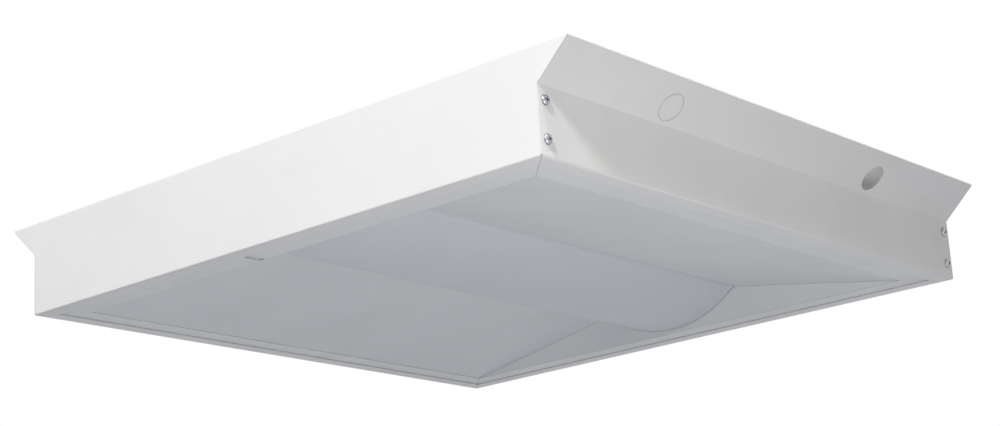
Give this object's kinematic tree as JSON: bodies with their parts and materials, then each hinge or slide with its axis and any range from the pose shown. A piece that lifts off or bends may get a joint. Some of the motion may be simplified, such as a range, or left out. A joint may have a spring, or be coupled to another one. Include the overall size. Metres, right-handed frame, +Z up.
{
  "type": "recessed troffer light",
  "caption": "Square sheet-metal troffer light in a flared ceiling surface frame, with sloping reflectors and a bowed lens door that swings down on two pins.",
  "frame": {"origin": "centre of the four ceiling slots, in the ceiling plane", "axes": "+X along the lens, +Y across it towards the rear flare, +Z up into the ceiling"},
  "size_m": [0.62, 0.683, 0.09],
  "materials": {
    "frame_paint": "matte white powder coat",
    "housing_paint": "satin white enamel",
    "reflector_paint": "high-reflectance matte white",
    "screw_zinc": "zinc plated, satin",
    "rivet_aluminium": "satin",
    "pin_steel": "plain turned",
    "spring_steel": "drawn wire",
    "diffuser": "frosted acrylic",
    "cap_plastic": "moulded, matte",
    "latch_plastic": "moulded, satin",
    "tray_steel": "white enamel",
    "board_white": "white solder mask",
    "led_phosphor": "phosphor-filled silicone",
    "plug_plastic": "natural nylon",
    "grommet_rubber": "matte black",
    "driver_metal": "white enamel",
    "lead_red": "extruded insulation",
    "lead_black": "extruded insulation",
    "lead_white": "extruded insulation",
    "lead_green": "extruded insulation",
    "connector_clear": "moulded, smooth"
  },
  "bodies": {
    "fixture": {"side_panel_front": "frame_paint", "side_panel_rear": "frame_paint", "end_panel_left": "frame_paint", "end_panel_right": "frame_paint", "corner_screws": "screw_zinc", "housing_shell": "housing_paint", "housing_end_left": "housing_paint", "housing_end_right": "housing_paint", "housing_rivets": "rivet_aluminium", "reflector_front": "reflector_paint", "reflector_rear": "reflector_paint", "reflector_end_left": "reflector_paint", "reflector_end_right": "reflector_paint", "reflector_rivets": "rivet_aluminium", "pivot_pins": "pin_steel", "latch_keeper": "housing_paint", "latch_spring": "spring_steel", "led_tray": "tray_steel", "tray_bracket_left": "tray_steel", "tray_bracket_right": "tray_steel", "bracket_screws": "screw_zinc", "led_board_front": "board_white", "led_board_rear": "board_white", "led_packages_front": "led_phosphor", "led_packages_rear": "led_phosphor", "board_screws": "screw_zinc", "board_plugs": "plug_plastic", "board_jumper": "lead_white", "lead_grommet": "grommet_rubber", "led_lead_positive": "lead_red", "led_lead_negative": "lead_black", "driver_case": "driver_metal", "driver_screws": "screw_zinc", "supply_lead_live": "lead_black", "supply_lead_neutral": "lead_white", "supply_lead_earth": "lead_green", "push_connectors": "connector_clear", "wiring_cover": "housing_paint", "cover_screws": "screw_zinc"},
    "lens_door": {"lens": "diffuser", "lens_cap_left": "cap_plastic", "lens_cap_right": "cap_plastic"},
    "latch": {"latch_slide": "latch_plastic"}
  },
  "joints": [
    {"name": "lens_hinge", "type": "hinge", "parent": "fixture", "child": "lens_door", "pos_m": [0, -0.0785, -0.0538], "axis": [-1, 0, 0], "range_deg": [0, 90]},
    {"name": "latch_travel", "type": "slide", "parent": "fixture", "child": "latch", "axis": [-1, 0, 0], "range_m": [0, 0.003], "stiffness_N_per_m": 800, "springref_m": -0.003, "deforming": ["latch_spring"]}
  ]
}
